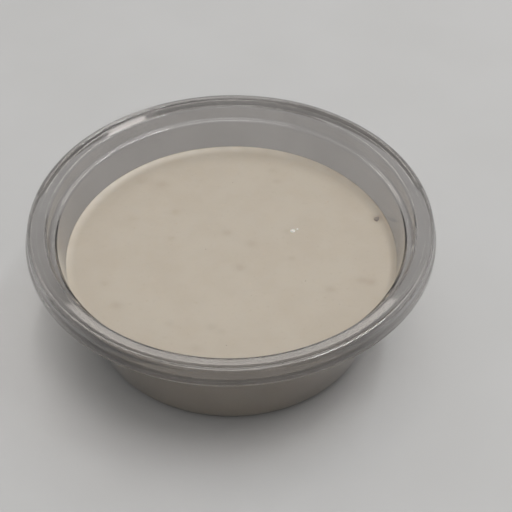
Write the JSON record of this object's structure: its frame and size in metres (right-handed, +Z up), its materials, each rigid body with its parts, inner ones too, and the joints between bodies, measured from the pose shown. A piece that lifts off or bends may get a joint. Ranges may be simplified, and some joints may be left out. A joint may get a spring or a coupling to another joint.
{
  "type": "tub of garlic sauce",
  "caption": "Shallow round clear plastic takeaway tub with a wide snap rim and no lid, filled with smooth cream garlic sauce.",
  "frame": {"origin": "centre of the foot, on the surface that the tub stands on", "axes": "+Z up along the tub's axis of revolution"},
  "size_m": [0.098, 0.098, 0.0336],
  "materials": {
    "clear_plastic": "clear, faintly hazy moulded plastic with a smooth glossy surface",
    "sauce": "smooth pale cream sauce with a soft wet sheen and a few fine flecks"
  },
  "bodies": {
    "root": {"tub": "clear_plastic", "sauce": "sauce"}
  },
  "joints": []
}
